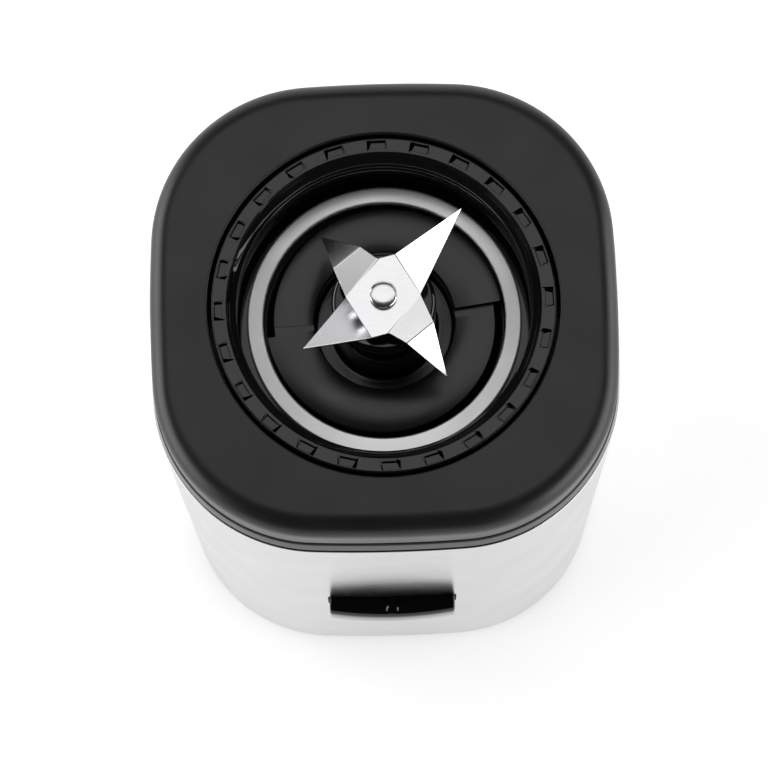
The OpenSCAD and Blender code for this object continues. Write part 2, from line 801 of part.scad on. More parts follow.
// Leads: mains to the switch, switch to the front brush, mains to the interlock switch and
// capacitor to the rear brush. Each is a list of points that keeps clear of the pillars.
lead_r = 1;
lead_x = half_w - 16;
lead_y = pillar_c + 13;
lead_z = plate_top + block_size.z + 1.1;
under_shelf = shelf_z - shelf_t - 1.2;
safety_at = turn([safety_r, 0], safety_a);
module lead_wires() {
    routes = [
        [[-28, lead_y, lead_z], [-40, lead_y, 26], [-lead_x, pillar_c - 2, 34], [-lead_x, 0, 40],
            [-lead_x, -pillar_c + 2, 46], [-pillar_c - 4, -pillar_c - 14, 50],
            [-8, switch_y, under_shelf]],
        [[8, switch_y, under_shelf], [14, switch_y + 8, 48], [12, -bar_y - 2, 46],
            [8, -32, brush_z + 1], [4, -holder_end - 1.2, brush_z]],
        [[-22, lead_y, lead_z], [-36, lead_y + 1, 30], [-lead_x, pillar_c - 2, 50],
            [-lead_x, safety_at.y, 80], [safety_at.x - 4, safety_at.y, safety_low - 6],
            [safety_at.x, safety_at.y, safety_low - 1.2]],
        [[22, lead_y, plate_top + cap_size.z + 1.1], [20, lead_y - 5, 32], [10, 34, 40],
            [5, holder_end + 1.2, brush_z]]
    ];
    color("#8a1f1f") for (r = routes) wire(r, lead_r);
}

// Blade unit ------------------------------------------------------------------------------------

holder_top = top_h - 0.5;
holder_low = tub_z + tub_t + 0.3;
wall_r = thread_r + thread_depth;
ledge_z = top_h - 17.7 - seal_t;
floor_z = top_h - 19.6;
groove_z = top_h - 24.6;
holder_under = top_h - 27.6;
trench_z = top_h - 27;
seat_r = seal_r - seal_w;
tower_top = top_h + 0.8;
tower_neck = tower_r - 1.3;
cap_low_z = top_h - 14;
bush_bore = 7;
bush_low = top_h - 29.5;
bush_top = top_h - 6;
notch_r = rim_r - 2.1;
notch_size = [2.2, 4.8, 1.2];
notch_turn = 1.3;

// One half-turn ramp on the cup's floor. It falls and narrows from a step.
ramp_rise = 1.8;
ramp_narrow = 2.1;
module floor_ramp(start) {
    n = 20;
    r0 = tower_r + 5.2;
    low = groove_z + 0.7;
    ring = [for (i = [0:n]) let (a = start + 174 * i / n, r1 = seat_r - 0.5 - ramp_narrow * i / n,
        z = floor_z + 0.2 + ramp_rise * (1 - i / n))
        each [[r0 * cos(a), r0 * sin(a), low], [r1 * cos(a), r1 * sin(a), low],
            [r1 * cos(a), r1 * sin(a), z], [r0 * cos(a), r0 * sin(a), z]]];
    skin = [for (i = [0:n - 1]) for (k = [0:3]) let (
        a = 4 * i + k, b = 4 * i + (k + 1) % 4, c = b + 4, d = a + 4)
        each [[a, b, c], [a, c, d]]];
    polyhedron(points = ring, faces = concat([[3, 2, 1, 0]], skin,
        [[4 * n, 4 * n + 1, 4 * n + 2, 4 * n + 3]]), convexity = 4);
}

// Holder: a threaded cup with a notched rim, a seal ledge and a tower for the shaft.
module blade_holder() {
    profile = [
        [rim_r - 1.8, holder_low], [rim_r - 1.8, top_h - 22.5], [rim_r, top_h - 21.5],
        [rim_r, holder_top - 0.6], [rim_r - 0.6, holder_top], [wall_r + 1.1, holder_top],
        [wall_r + 0.5, holder_top - 0.6], [wall_r, holder_top - 0.6], [wall_r, ledge_z],
        [seat_r, ledge_z], [seat_r, groove_z], [seat_r - 2.8, floor_z],
        [tower_r + 5, floor_z], [tower_r + 5, trench_z],
        [tower_r, trench_z], [tower_r, cap_low_z - 0.2], [tower_neck, cap_low_z - 0.2],
        [tower_neck, tower_top], [bush_bore, tower_top], [bush_bore, bush_low],
        [blade_shaft_r + 1, bush_low], [blade_shaft_r + 1, bush_low - 1.4],
        [tower_r + 6.5, bush_low - 1.4], [tower_r + 6.5, holder_under], [seat_r + 2, holder_under],
        [seat_r + 2, ledge_z - 3], [wall_r - 1.2, ledge_z - 3], [wall_r - 1.2, holder_low]];
    crest = 0.9;
    pitch = 3.1;
    color("#232325") difference() {
        union() {
            rotate_extrude($fn = 128) polygon(profile);
            for (i = [0:2]) let (z = holder_top - 4 - i * pitch)
                rotate_extrude($fn = 128) polygon([[wall_r + 0.2, z - crest - 0.4],
                    [thread_r, z - crest / 2], [thread_r, z + crest / 2], [wall_r + 0.2, z + crest + 0.4]]);
            for (a = [45:90:315]) rotate(a) translate([rim_r - 2.4, -key_w / 2, key_z])
                cube([key_r - rim_r + 2.4, key_w, key_h]);
            for (a = [188, 8]) floor_ramp(a);
        }
        for (i = [0:notches - 1]) rotate(360 * i / notches + notch_turn)
            translate([notch_r - notch_size.x / 2, -notch_size.y / 2, holder_top - notch_size.z])
                cube(notch_size + [0, 0, 1]);
    }
}

module jar_seal() {
    color("#b4b5b6") tube(seal_r, seat_r + 0.1, ledge_z, ledge_z + seal_t);
}

hub_top = top_h + 2;
// Moulded cap over the tower.
module hub_cap() {
    color("#0e0e0f") difference() {
        union() {
            rod(tower_r, cap_low_z, hub_top - 1);
            translate([0, 0, hub_top - 1 - eps]) cylinder(r1 = tower_r, r2 = tower_r - 1, h = 1, $fn = 96);
        }
        rod(tower_neck + 0.1, cap_low_z - 1, tower_top + 0.1);
        rod(blade_shaft_r + 1, tower_top - 1, hub_top + 1);
    }
}

module shaft_bush() {
    color("#a8793c") tube(bush_bore, blade_shaft_r + run_gap, bush_low, bush_top);
}

module shaft_seal() {
    color("#7c2b20") tube(bush_bore, blade_shaft_r + run_gap, bush_top + 0.5, tower_top);
}

blade_z = top_h + 7.2;
spacer_r = 6.5;
rivet_r = 3.75;
rivet_h = 2.7;
star_low = coupling_low + 4.8;
star_top = tub_z + 5.6;
module blade_shaft() {
    color("gainsboro") difference() {
        union() {
            rod(blade_shaft_r, star_low, blade_z);
            rod(rivet_r, blade_z - eps, blade_z + rivet_h);
        }
        for (s = [-1, 1]) translate([s * (rivet_r + 0.2) - 0.5, -5, blade_z + blade_t / 2 + 0.1])
            cube([1, 10, rivet_h]);
    }
}

module blade_spacer() {
    color("gainsboro") tube(spacer_r, blade_shaft_r, hub_top + 0.4, blade_z - blade_t / 2);
}

module retaining_clip() {
    color("gainsboro") tube(blade_shaft_r + 3, blade_shaft_r, bush_low - 2.6, bush_low - 1.6);
}

module driven_coupling() {
    color("#26262a") difference() {
        star(0, star_low, star_top);
        rod(blade_shaft_r, star_low - 1, star_top + 1);
    }
}

// Blade: a four-sided hub plate, two wings swept up and two folded up and then down.
// Each wing is laid out in its own plan: x along its fold, y outwards from the axis.
sweep_a = 30.1;
fold_a = 140.4;
sweep_y = 8.7;
fold_y = 7.5;
fold_rise = 2;
function wing(p, a, z) = [p.y * cos(a) + p.x * sin(a), p.y * sin(a) - p.x * cos(a), z];
function half_turn(v) = [for (p = v) [-p.x, -p.y, p.z]];
hub_side = [wing([4.7, sweep_y], sweep_a, 0), wing([-8.1, sweep_y], sweep_a, 0),
    wing([7, fold_y], fold_a, 0), wing([-6.4, fold_y], fold_a, 0)];
wing_side = [wing([-5.3, 27.4], sweep_a, tip_rise), wing([-2.4, 15], fold_a, fold_rise),
    wing([6.5, 13.1], fold_a, fold_rise), wing([4.7, 25.3], fold_a, -tip_drop)];
blade_points = concat(hub_side, half_turn(hub_side), wing_side, half_turn(wing_side));
blade_facets = [[0, 1, 2, 3, 4, 5, 6, 7],
    [1, 0, 8], [3, 2, 9], [9, 2, 10], [9, 10, 11],
    [5, 4, 12], [7, 6, 13], [13, 6, 14], [13, 14, 15]];
blade_rim = [0, 8, 1, 2, 10, 11, 9, 3, 4, 12, 5, 6, 14, 15, 13, 7];

module cutting_blade() {
    n = len(blade_points);
    up = [0, 0, blade_t / 2];
    points = concat([for (p = blade_points) p - up], [for (p = blade_points) p + up]);
    top = [for (f = blade_facets) [for (i = [len(f) - 1:-1:0]) f[i] + n]];
    side = [for (i = [0:n - 1]) let (a = blade_rim[i], b = blade_rim[(i + 1) % n])
        [b, a, a + n, b + n]];
    color("#d6d7d9") translate([0, 0, blade_z]) difference() {
        polyhedron(points = points, faces = concat(blade_facets, top, side), convexity = 4);
        rod(blade_shaft_r, -3, 0);
        rod(rivet_r, -1, rivet_h + 1);
    }
}

steel_sleeve();
top_cap();
cap_trim_ring();
seat_tub();
inner_frame();
base_plate();
rubber_feet();
base_screws();
cap_screws();
cord_gland();
terminal_block();
suppression_capacitor();
stator_core();
field_coils();
upper_bracket();
lower_bracket();
bracket_screws();
motor_mounts();
mount_screws();
brush_holders();
carbon_brushes();
brush_springs();
upper_bearing_outer();
bearing_balls();
lower_bush();
fan_shroud();
switch_bracket();
run_switch();
lever_pin();
lever_springs();
safety_switch();
safety_spring();
lead_wires();
run_lever();
switch_button();
safety_pin();
motor_shaft();
upper_bearing_inner();
armature_core();
armature_winding();
commutator();
cooling_fan();
drive_coupling();
blade_holder();
jar_seal();
hub_cap();
shaft_bush();
shaft_seal();
blade_shaft();
cutting_blade();
blade_spacer();
retaining_clip();
driven_coupling();
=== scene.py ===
import json
from math import acos, atan2, cos, pi, radians, sin, sqrt, tan

import bmesh
import bpy
from mathutils import Matrix, Vector


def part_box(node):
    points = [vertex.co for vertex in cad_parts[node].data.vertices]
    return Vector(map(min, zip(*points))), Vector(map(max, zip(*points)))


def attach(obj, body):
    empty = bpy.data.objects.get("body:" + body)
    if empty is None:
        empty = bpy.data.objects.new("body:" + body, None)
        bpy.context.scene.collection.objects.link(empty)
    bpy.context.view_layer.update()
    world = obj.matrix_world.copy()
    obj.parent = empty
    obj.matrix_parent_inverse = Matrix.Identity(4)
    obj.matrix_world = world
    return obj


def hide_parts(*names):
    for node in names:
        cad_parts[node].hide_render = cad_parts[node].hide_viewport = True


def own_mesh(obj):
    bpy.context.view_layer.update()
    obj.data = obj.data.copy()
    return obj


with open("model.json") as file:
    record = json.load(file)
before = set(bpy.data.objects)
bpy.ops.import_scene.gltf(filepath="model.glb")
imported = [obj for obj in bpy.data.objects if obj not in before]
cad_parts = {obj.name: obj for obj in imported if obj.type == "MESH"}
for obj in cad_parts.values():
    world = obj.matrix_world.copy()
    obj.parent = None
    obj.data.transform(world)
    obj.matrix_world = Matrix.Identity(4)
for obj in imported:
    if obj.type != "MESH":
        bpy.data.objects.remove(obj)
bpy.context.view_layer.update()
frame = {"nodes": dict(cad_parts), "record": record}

# A compact blender base: a brushed sleeve, a soft-touch cap, a front lever and a blade unit.
# Everything is in metres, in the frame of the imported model: +Z up, -Y towards the front.

MM = 0.001

# Places that the pieces share, all taken from the frame.
SLEEVE_LOW, SLEEVE_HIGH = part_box("steel_sleeve")
CAP_LOW, CAP_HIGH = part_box("top_cap")
TRIM_LOW, TRIM_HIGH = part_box("cap_trim_ring")
HOLDER_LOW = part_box("blade_holder")[0]
SEAL_LOW, SEAL_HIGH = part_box("jar_seal")
HUB_LOW, HUB_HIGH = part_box("hub_cap")
LEVER_LOW, LEVER_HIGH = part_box("run_lever")
TOP = CAP_HIGH.z
HALF = SLEEVE_HIGH.x

# The body's plan: four bulging sides joined by corner arcs that touch them.
CORNER_R = 45.4 * MM
SIDE_R = 400 * MM
SIDE_C = HALF - SIDE_R
CORNER_C = (SIDE_C + sqrt(2 * (SIDE_R - CORNER_R) ** 2 - SIDE_C ** 2)) / 2
TOUCH = atan2(CORNER_C, CORNER_C - SIDE_C)


# Meshes ------------------------------------------------------------------------------------------

def outline(inset, side_n=12, corner_n=28):
    """Points round the body's plan, moved in by inset."""
    quarter = []
    for i in range(side_n):
        a = TOUCH * (2 * i / side_n - 1)
        quarter.append((SIDE_C + (SIDE_R - inset) * cos(a), (SIDE_R - inset) * sin(a)))
    for i in range(corner_n):
        a = TOUCH + (pi / 2 - 2 * TOUCH) * i / corner_n
        r = CORNER_R - inset
        quarter.append((CORNER_C + r * cos(a), CORNER_C + r * sin(a)))
    turns = [(1, 0), (0, 1), (-1, 0), (0, -1)]
    return [(x * c - y * s, x * s + y * c) for c, s in turns for x, y in quarter]


def rounded(corners, steps=5):
    """A closed profile in which each (x, y, radius) corner becomes an arc with a flat lead-in."""
    out = []
    for i, (x, y, radius) in enumerate(corners):
        p = Vector((x, y))
        a = Vector(corners[i - 1][:2]) - p
        b = Vector(corners[(i + 1) % len(corners)][:2]) - p
        if radius <= 0:
            out.append(p)
            continue
        room = 0.46 * min(a.length, b.length)
        a.normalize()
        b.normalize()
        half = acos(max(-1, min(1, a.dot(b)))) / 2
        cut = min(radius / tan(half), room)
        r = cut * tan(half)
        centre = p + (a + b).normalized() * (r / sin(half))
        start = p + a * cut - centre
        end = p + b * cut - centre
        sweep = atan2(start.x * end.y - start.y * end.x, start.dot(end))
        out.append(p + a * min(cut * 1.3, room * 1.05))
        for k in range(steps + 1):
            t = sweep * k / steps
            out.append(centre + Vector((start.x * cos(t) - start.y * sin(t),
                                        start.x * sin(t) + start.y * cos(t))))
        out.append(p + b * min(cut * 1.3, room * 1.05))
    return out


def mesh_of(name, points, faces):
    """A mesh object at the origin, smooth, with its faces turned outwards."""
    mesh = bpy.data.meshes.new(name)
    mesh.from_pydata([tuple(p) for p in points], [], faces)
    piece = bpy.data.objects.new(name, mesh)
    bpy.context.scene.collection.objects.link(piece)
    tidy(piece)
    return piece


def tidy(piece, sharp=40):
    """Merges doubles, turns faces outwards and marks edges sharper than the angle."""
    bm = bmesh.new()
    bm.from_mesh(piece.data)
    bmesh.ops.remove_doubles(bm, verts=bm.verts, dist=1e-7)
    bmesh.ops.recalc_face_normals(bm, faces=bm.faces)
    for f in bm.faces:
        f.smooth = True
    for e in bm.edges:
        if len(e.link_faces) == 2 and e.calc_face_angle(0) > radians(sharp):
            e.smooth = False
    bm.to_mesh(piece.data)
    bm.free()


def ring_mesh(name, rings):
    """A closed skin over rings of equal length, the last joined back to the first."""
    n, m = len(rings[0]), len(rings)
    points = [p for ring in rings for p in ring]
    faces = [(j * n + i, j * n + (i + 1) % n, (j + 1) % m * n + (i + 1) % n, (j + 1) % m * n + i)
             for j in range(m) for i in range(n)]
    return mesh_of(name, points, faces)


def swept(name, rings):
    """A closed skin over rings of equal length, with a face at each end."""
    n, last = len(rings[0]), len(rings) - 1
    points = [p for ring in rings for p in ring]
    faces = [(n * i + k, n * i + (k + 1) % n, n * (i + 1) + (k + 1) % n, n * (i + 1) + k)
             for i in range(last) for k in range(n)]
    faces += [tuple(range(n)), tuple(range(n * last + n - 1, n * last - 1, -1))]
    return mesh_of(name, points, faces)


def lathe(name, profile, count=192):
    """A closed (radius, z) profile turned about the Z axis."""
    turns = [(cos(2 * pi * i / count), sin(2 * pi * i / count)) for i in range(count)]
    return ring_mesh(name, [[(r * c, r * s, z) for c, s in turns] for r, z in profile])


def plan_ring(inset, z):
    return [(x, y, z) for x, y in outline(inset)]


def round_ring(radius, z):
    """A circle whose points lie in the same directions as the points of the body's plan."""
    ring = []
    for x, y in outline(0):
        length = sqrt(x * x + y * y)
        ring.append((x / length * radius, y / length * radius, z))
    return ring


def solid_lathe(name, profile, count=96):
    """A (radius, z) profile that starts and ends on the axis, turned and closed."""
    n = count
    inner = profile[1:-1]
    points = [(0, 0, profile[0][1]), (0, 0, profile[-1][1])]
    for r, z in inner:
        points += [(r * cos(2 * pi * i / n), r * sin(2 * pi * i / n), z) for i in range(n)]
    faces = []
    for j in range(len(inner) - 1):
        a, b = 2 + j * n, 2 + (j + 1) * n
        faces += [(a + i, a + (i + 1) % n, b + (i + 1) % n, b + i) for i in range(n)]
    last = 2 + (len(inner) - 1) * n
    faces += [(0, 2 + (i + 1) % n, 2 + i) for i in range(n)]
    faces += [(1, last + i, last + (i + 1) % n) for i in range(n)]
    return mesh_of(name, points, faces)


def joined(name, pieces):
    """Several objects as one piece."""
    bm = bmesh.new()
    for piece in pieces:
        piece.data.transform(piece.matrix_world)
        bm.from_mesh(piece.data)
    mesh = bpy.data.meshes.new(name)
    bm.to_mesh(mesh)
    bm.free()
    for piece in pieces:
        bpy.data.objects.remove(piece)
    whole = bpy.data.objects.new(name, mesh)
    bpy.context.scene.collection.objects.link(whole)
    return whole


def baked(piece):
    """The piece with its modifiers applied."""
    graph = bpy.context.evaluated_depsgraph_get()
    mesh = bpy.data.meshes.new_from_object(piece.evaluated_get(graph))
    piece.modifiers.clear()
    piece.data = mesh
    return piece


def cut(piece, *cutters):
    """Cuts the cutters out of the piece."""
    for cutter in cutters:
        step = piece.modifiers.new("cut", "BOOLEAN")
        step.operation = "DIFFERENCE"
        step.solver = "EXACT"
        step.object = cutter
        baked(piece)
        bpy.data.objects.remove(cutter)
    tidy(piece, 30)
    return piece


def flat_planes(piece, area):
    """Shades the faces above an area flat, so that planes stay true beside their rounded edges."""
    for face in piece.data.polygons:
        if face.area > area:
            face.use_smooth = False


def bevel(piece, width, steps=2, angle=35):
    """Rounds every edge sharper than the angle."""
    step = piece.modifiers.new("bevel", "BEVEL")
    step.width = width
    step.segments = steps
    step.limit_method = "ANGLE"
    step.angle_limit = radians(angle)
    step.use_clamp_overlap = True
    baked(piece)
    tidy(piece, 50)
    return piece


def block(name, low, high):
    """A box between two corners."""
    points = [(x, y, z) for z in (low[2], high[2]) for y in (low[1], high[1])
              for x in (low[0], high[0])]
    faces = [(0, 2, 3, 1), (4, 5, 7, 6), (0, 1, 5, 4), (2, 6, 7, 3), (0, 4, 6, 2), (1, 3, 7, 5)]
    return mesh_of(name, points, faces)


# Node trees --------------------------------------------------------------------------------------

def put(tree, kind, inputs=None, **settings):
    """Adds a node, sets its properties and fills its inputs with values or other outputs."""
    node = tree.nodes.new(kind)
    for key, value in settings.items():
        setattr(node, key, value)
    for key, value in (inputs or {}).items():
        if isinstance(value, bpy.types.NodeSocket):
            tree.links.new(value, node.inputs[key])
        else:
            node.inputs[key].default_value = value
    return node


def linear(code):
    """An sRGB hex colour as linear RGBA."""
    parts = [int(code[i:i + 2], 16) / 255 for i in (1, 3, 5)]
    return [c / 12.92 if c <= 0.04045 else ((c + 0.055) / 1.055) ** 2.4 for c in parts] + [1]


def finish(name, light, dark, rough, grain, depth, stretch=(1, 1, 1), metal=0.0, spread=0.06,
           ior=1.46, coat=0.0, brushed=0.0, soft=0.5, level=0.5):
    """A surface: two tints, a roughness, and a grain of a size and depth in millimetres.

    stretch draws the grain out along X, Y and Z. brushed is the anisotropy of lines that run
    round the Z axis, soft the strength of the grain and level the strength of the reflection.
    """
    material = bpy.data.materials.new(name)
    material.use_nodes = True
    tree = material.node_tree
    tree.nodes.clear()
    place = put(tree, "ShaderNodeTexCoord")
    scale = [1 / (grain * MM * s) for s in stretch]
    at = put(tree, "ShaderNodeMapping", {"Vector": place.outputs["Object"], "Scale": scale})
    fine = put(tree, "ShaderNodeTexNoise", {"Vector": at.outputs["Vector"], "Scale": 1.0,
                                            "Detail": 3.0, "Roughness": 0.6})
    wide = put(tree, "ShaderNodeTexNoise", {"Vector": place.outputs["Object"],
                                            "Scale": 1 / (18 * MM), "Detail": 2.0})
    tint = put(tree, "ShaderNodeMixRGB", {"Fac": fine.outputs["Fac"], "Color1": linear(dark),
                                          "Color2": linear(light)})
    shine = put(tree, "ShaderNodeMapRange", {"Value": wide.outputs["Fac"], "From Min": 0.3,
                                             "From Max": 0.7, "To Min": rough - spread,
                                             "To Max": rough + spread})
    bump = put(tree, "ShaderNodeBump", {"Height": fine.outputs["Fac"], "Distance": depth * MM,
                                        "Strength": soft})
    inputs = {"Base Color": tint.outputs["Color"], "Roughness": shine.outputs["Result"],
              "Normal": bump.outputs["Normal"], "Metallic": metal, "Coat Weight": coat,
              "Coat Roughness": 0.05, "Anisotropic": brushed}
    if metal < 1:
        inputs["IOR"] = ior
        inputs["Specular IOR Level"] = level
    if brushed:
        flow = put(tree, "ShaderNodeTangent", direction_type="RADIAL", axis="Z")
        inputs["Tangent"] = flow.outputs["Tangent"]
    shader = put(tree, "ShaderNodeBsdfPrincipled", inputs)
    put(tree, "ShaderNodeOutputMaterial", {"Surface": shader.outputs["BSDF"]})
    return material


def clear_beyond(material, radius, rough):
    """Gives the material a clear reflection beyond a radius, so that the rim and thread shine."""
    tree = material.node_tree
    shader = next(n for n in tree.nodes if n.type == "BSDF_PRINCIPLED")
    dull = shader.inputs["Roughness"].links[0].from_socket
    place = put(tree, "ShaderNodeTexCoord")
    flat = put(tree, "ShaderNodeVectorMath", {0: place.outputs["Object"], 1: (1, 1, 0)},
               operation="MULTIPLY")
    away = put(tree, "ShaderNodeVectorMath", {0: flat.outputs["Vector"]}, operation="LENGTH")
    share = put(tree, "ShaderNodeMapRange", {"Value": away.outputs["Value"],
                                             "From Min": radius - 0.3 * MM,
                                             "From Max": radius + 0.3 * MM})
    mix = put(tree, "ShaderNodeMix", {"Factor": share.outputs["Result"], "A": dull,
                                      "B": rough}, data_type="FLOAT")
    tree.links.new(mix.outputs["Result"], shader.inputs["Roughness"])


def paint(piece, material):
    piece.data.materials.clear()
    piece.data.materials.append(material)
    return piece


# Stainless sheet brushed round the body: fine level lines, soft stretched reflections.
brushed_sheet = finish("brushed_stainless_sheet", "#c9c9cb", "#b6b6b8", 0.22, 0.5, 0.0015,
                       stretch=(90, 90, 1), metal=1.0, spread=0.02, brushed=0.5)
# Soft-touch painted ABS: almost no colour, a wide dull sheen and a fine even grain.
soft_touch = finish("soft_touch_abs", "#1c1c1d", "#171718", 0.36, 0.3, 0.008, spread=0.03,
                    level=0.48)
# Polished ABS: near black, with a hard clear reflection.
gloss_abs = finish("polished_abs", "#070707", "#040404", 0.07, 0.8, 0.0006, spread=0.02)
# Semi-gloss ABS: black, with reflections too soft to show the blade above it.
semi_gloss = finish("semi_gloss_abs", "#111112", "#0c0c0d", 0.25, 0.4, 0.003, spread=0.03,
                    level=0.55)
clear_beyond(semi_gloss, 37.5 * MM, 0.06)
# Dark band under the cap: a hard smooth face that takes little of the light from the worktop.
dark_band = finish("dark_band_abs", "#050505", "#030303", 0.12, 0.6, 0.0006, spread=0.03,
                   level=0.2)
# Moulded polypropylene: black with a satin sheen from a lightly etched tool.
satin_pp = finish("satin_polypropylene", "#1a1a1b", "#131314", 0.30, 0.30, 0.006, spread=0.05)
# Glass-filled nylon: dark grey, dry, with a visible fibre grain.
filled_nylon = finish("glass_filled_nylon", "#454649", "#36373a", 0.55, 0.5, 0.02,
                      stretch=(1, 1, 3))
# Moulded rubber: dull black with no clear reflection.
rubber = finish("moulded_rubber", "#1c1c1c", "#131313", 0.72, 0.25, 0.02, ior=1.52)
# Food-grade silicone: pale grey, with a broad sheen drawn out round the ring.
silicone = finish("grey_silicone", "#ededee", "#e3e4e5", 0.36, 0.3, 0.002, metal=0.7,
                  spread=0.03, brushed=0.9)
# Red nitrile rubber for lip seals.
nitrile = finish("red_nitrile_rubber", "#6e2319", "#57180f", 0.6, 0.3, 0.02)
# Bright zinc plating: clear, slightly blue, a little cloudy.
zinc = finish("zinc_plated_steel", "#c9ccd1", "#b3b6bb", 0.24, 0.5, 0.004, metal=1.0)
# Drawn spring wire: grey metal with faint lines along it.
spring_wire = finish("drawn_spring_wire", "#a6a7aa", "#8c8d90", 0.3, 0.2, 0.004, metal=1.0)
# Ground stainless blade: bright, with fine straight grinding lines.
blade_steel = finish("ground_blade_steel", "#e6e6e7", "#d6d6d8", 0.23, 0.2, 0.001,
                     stretch=(14, 1, 1), metal=1.0, spread=0.03)
# Turned stainless: fine rings about the axis that fan out the light.
turned_steel = finish("turned_stainless", "#c4c5c7", "#a8a9ab", 0.25, 0.3, 0.004, metal=1.0,
                      brushed=0.6)
# Die-cast aluminium: pale, dull, slightly pitted.
cast_alloy = finish("die_cast_aluminium", "#b4b6ba", "#9b9da1", 0.48, 0.9, 0.04, metal=1.0)
# Electrical steel: stacked sheets seen edge on as level lines.
lamination = finish("electrical_steel_stack", "#7f838a", "#3f4146", 0.42, 0.5, 0.05,
                    stretch=(80, 80, 1), metal=1.0, soft=0.8)
# Enamelled copper wire: orange-brown under a clear varnish.
copper_wire = finish("enamelled_copper_wire", "#b8642b", "#7a3a15", 0.28, 0.45, 0.12,
                     stretch=(1, 1, 25), metal=0.6, coat=0.5, soft=1.0)
# Turned copper with light brush marks round it.
turned_copper = finish("turned_copper", "#c98458", "#a7623b", 0.26, 0.3, 0.01,
                       stretch=(20, 20, 1), metal=1.0)
# Sintered bronze: brown-gold, open-grained, oily.
bronze = finish("sintered_bronze", "#a47f49", "#7d5c31", 0.42, 0.25, 0.03, metal=1.0)
# Stamped brass strip.
brass = finish("stamped_brass", "#c8a451", "#ab873b", 0.28, 0.5, 0.006, metal=1.0)
# Pressed carbon: black, dusty.
carbon = finish("pressed_carbon", "#2a2a2a", "#191919", 0.7, 0.2, 0.02)
# Natural nylon: warm white, slightly waxy.
nylon = finish("natural_nylon", "#e3dfd2", "#d5d0c1", 0.4, 0.6, 0.006)
# Film capacitor case: glossy yellow epoxy.
epoxy = finish("yellow_epoxy", "#d0a92c", "#bf9820", 0.22, 1.2, 0.02)
# Red acetal: slightly waxy engineering plastic.
acetal = finish("red_acetal", "#c2392c", "#aa2c20", 0.33, 0.5, 0.004)
# Silicone wire insulation: dull dark red.
insulation = finish("silicone_insulation", "#8d1f1c", "#761613", 0.55, 0.4, 0.004)

FINISHES = {
    "stainless_sleeve": brushed_sheet, "soft_black": soft_touch, "gloss_black": gloss_abs,
    "satin_black": satin_pp, "grey_plastic": filled_nylon, "black_rubber": rubber,
    "grey_silicone": silicone, "red_rubber": nitrile, "zinc_steel": zinc,
    "spring_steel": spring_wire, "blade_steel": blade_steel, "cast_aluminium": cast_alloy,
    "laminated_steel": lamination, "enamelled_copper": copper_wire,
    "commutator_copper": turned_copper, "sintered_bronze": bronze, "brass": brass,
    "carbon": carbon, "ivory_plastic": nylon, "yellow_film": epoxy, "red_plastic": acetal,
    "wire_insulation": insulation,
}
SLOTS = {row["node"]: row["material_slot"] for row in frame["record"]["subparts"]}
BODIES = {node: body for body, members in frame["record"]["behaviour"]["bodies"].items()
          for node in members}


def stand_for(piece, node, material=None):
    """Paints a piece, rides it on the node's body, and puts it in the node's place."""
    paint(piece, material or FINISHES[SLOTS[node]])
    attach(piece, BODIES[node])
    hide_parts(node)
    return piece


# Outer shells ------------------------------------------------------------------------------------

TAPER = 2.5 * MM
SHEET_T = 1 * MM


def lean(z):
    """How far the sleeve's face has moved in at a height."""
    return TAPER * (SLEEVE_HIGH.z - z) / (SLEEVE_HIGH.z - SLEEVE_LOW.z)


def slot_cutter():
    """The window that the lever works in, with small corner radii."""
    gap, drop, reach = 0.5 * MM, 1.9 * MM, 25 * MM
    low = (LEVER_LOW.x - gap, -HALF - 5 * MM, LEVER_LOW.z - drop)
    high = (LEVER_HIGH.x + gap, -HALF + reach, LEVER_HIGH.z + gap)
    return bevel(block("window", low, high), 0.8 * MM, 3)


def gland_cutter():
    low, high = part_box("cord_gland")
    middle, radius = (low.z + high.z) / 2, (high.x - low.x) / 2 - 1.8 * MM
    cutter = solid_lathe("gland_hole", [(0, 0), (radius, 0), (radius, 30 * MM), (0, 30 * MM)])
    cutter.data.transform(Matrix.Translation((0, HALF - 20 * MM, middle))
                          @ Matrix.Rotation(-pi / 2, 4, "X"))
    return cutter


def sleeve():
    """Stainless sleeve: one sheet, tapered, with a hem turned in under the base."""
    hem = 3 * MM
    low, top = SLEEVE_LOW.z, SLEEVE_HIGH.z
    bottom = lean(low)
    inner = bottom + hem + 0.2 * MM
    profile = rounded([
        (inner, low, 0.2 * MM), (bottom, low, hem), (0, top, 0.35 * MM),
        (SHEET_T, top, 0.35 * MM), (bottom + SHEET_T, low + SHEET_T, hem - SHEET_T),
        (inner, low + SHEET_T, 0.2 * MM)], 8)
    piece = ring_mesh("steel_sleeve_skin", [plan_ring(*p) for p in profile])
    cut(piece, slot_cutter(), gland_cutter())
    return stand_for(piece, "steel_sleeve")


RIM_R = 46.4 * MM
CAP_IN = 1.1 * MM
CAP_T = 2.6 * MM
ROLL_R = 7.2 * MM
SPIGOT_IN = 3.8 * MM
CAP_EDGE = TOP - 12.5 * MM
OPENING_R = RIM_R + 0.9 * MM


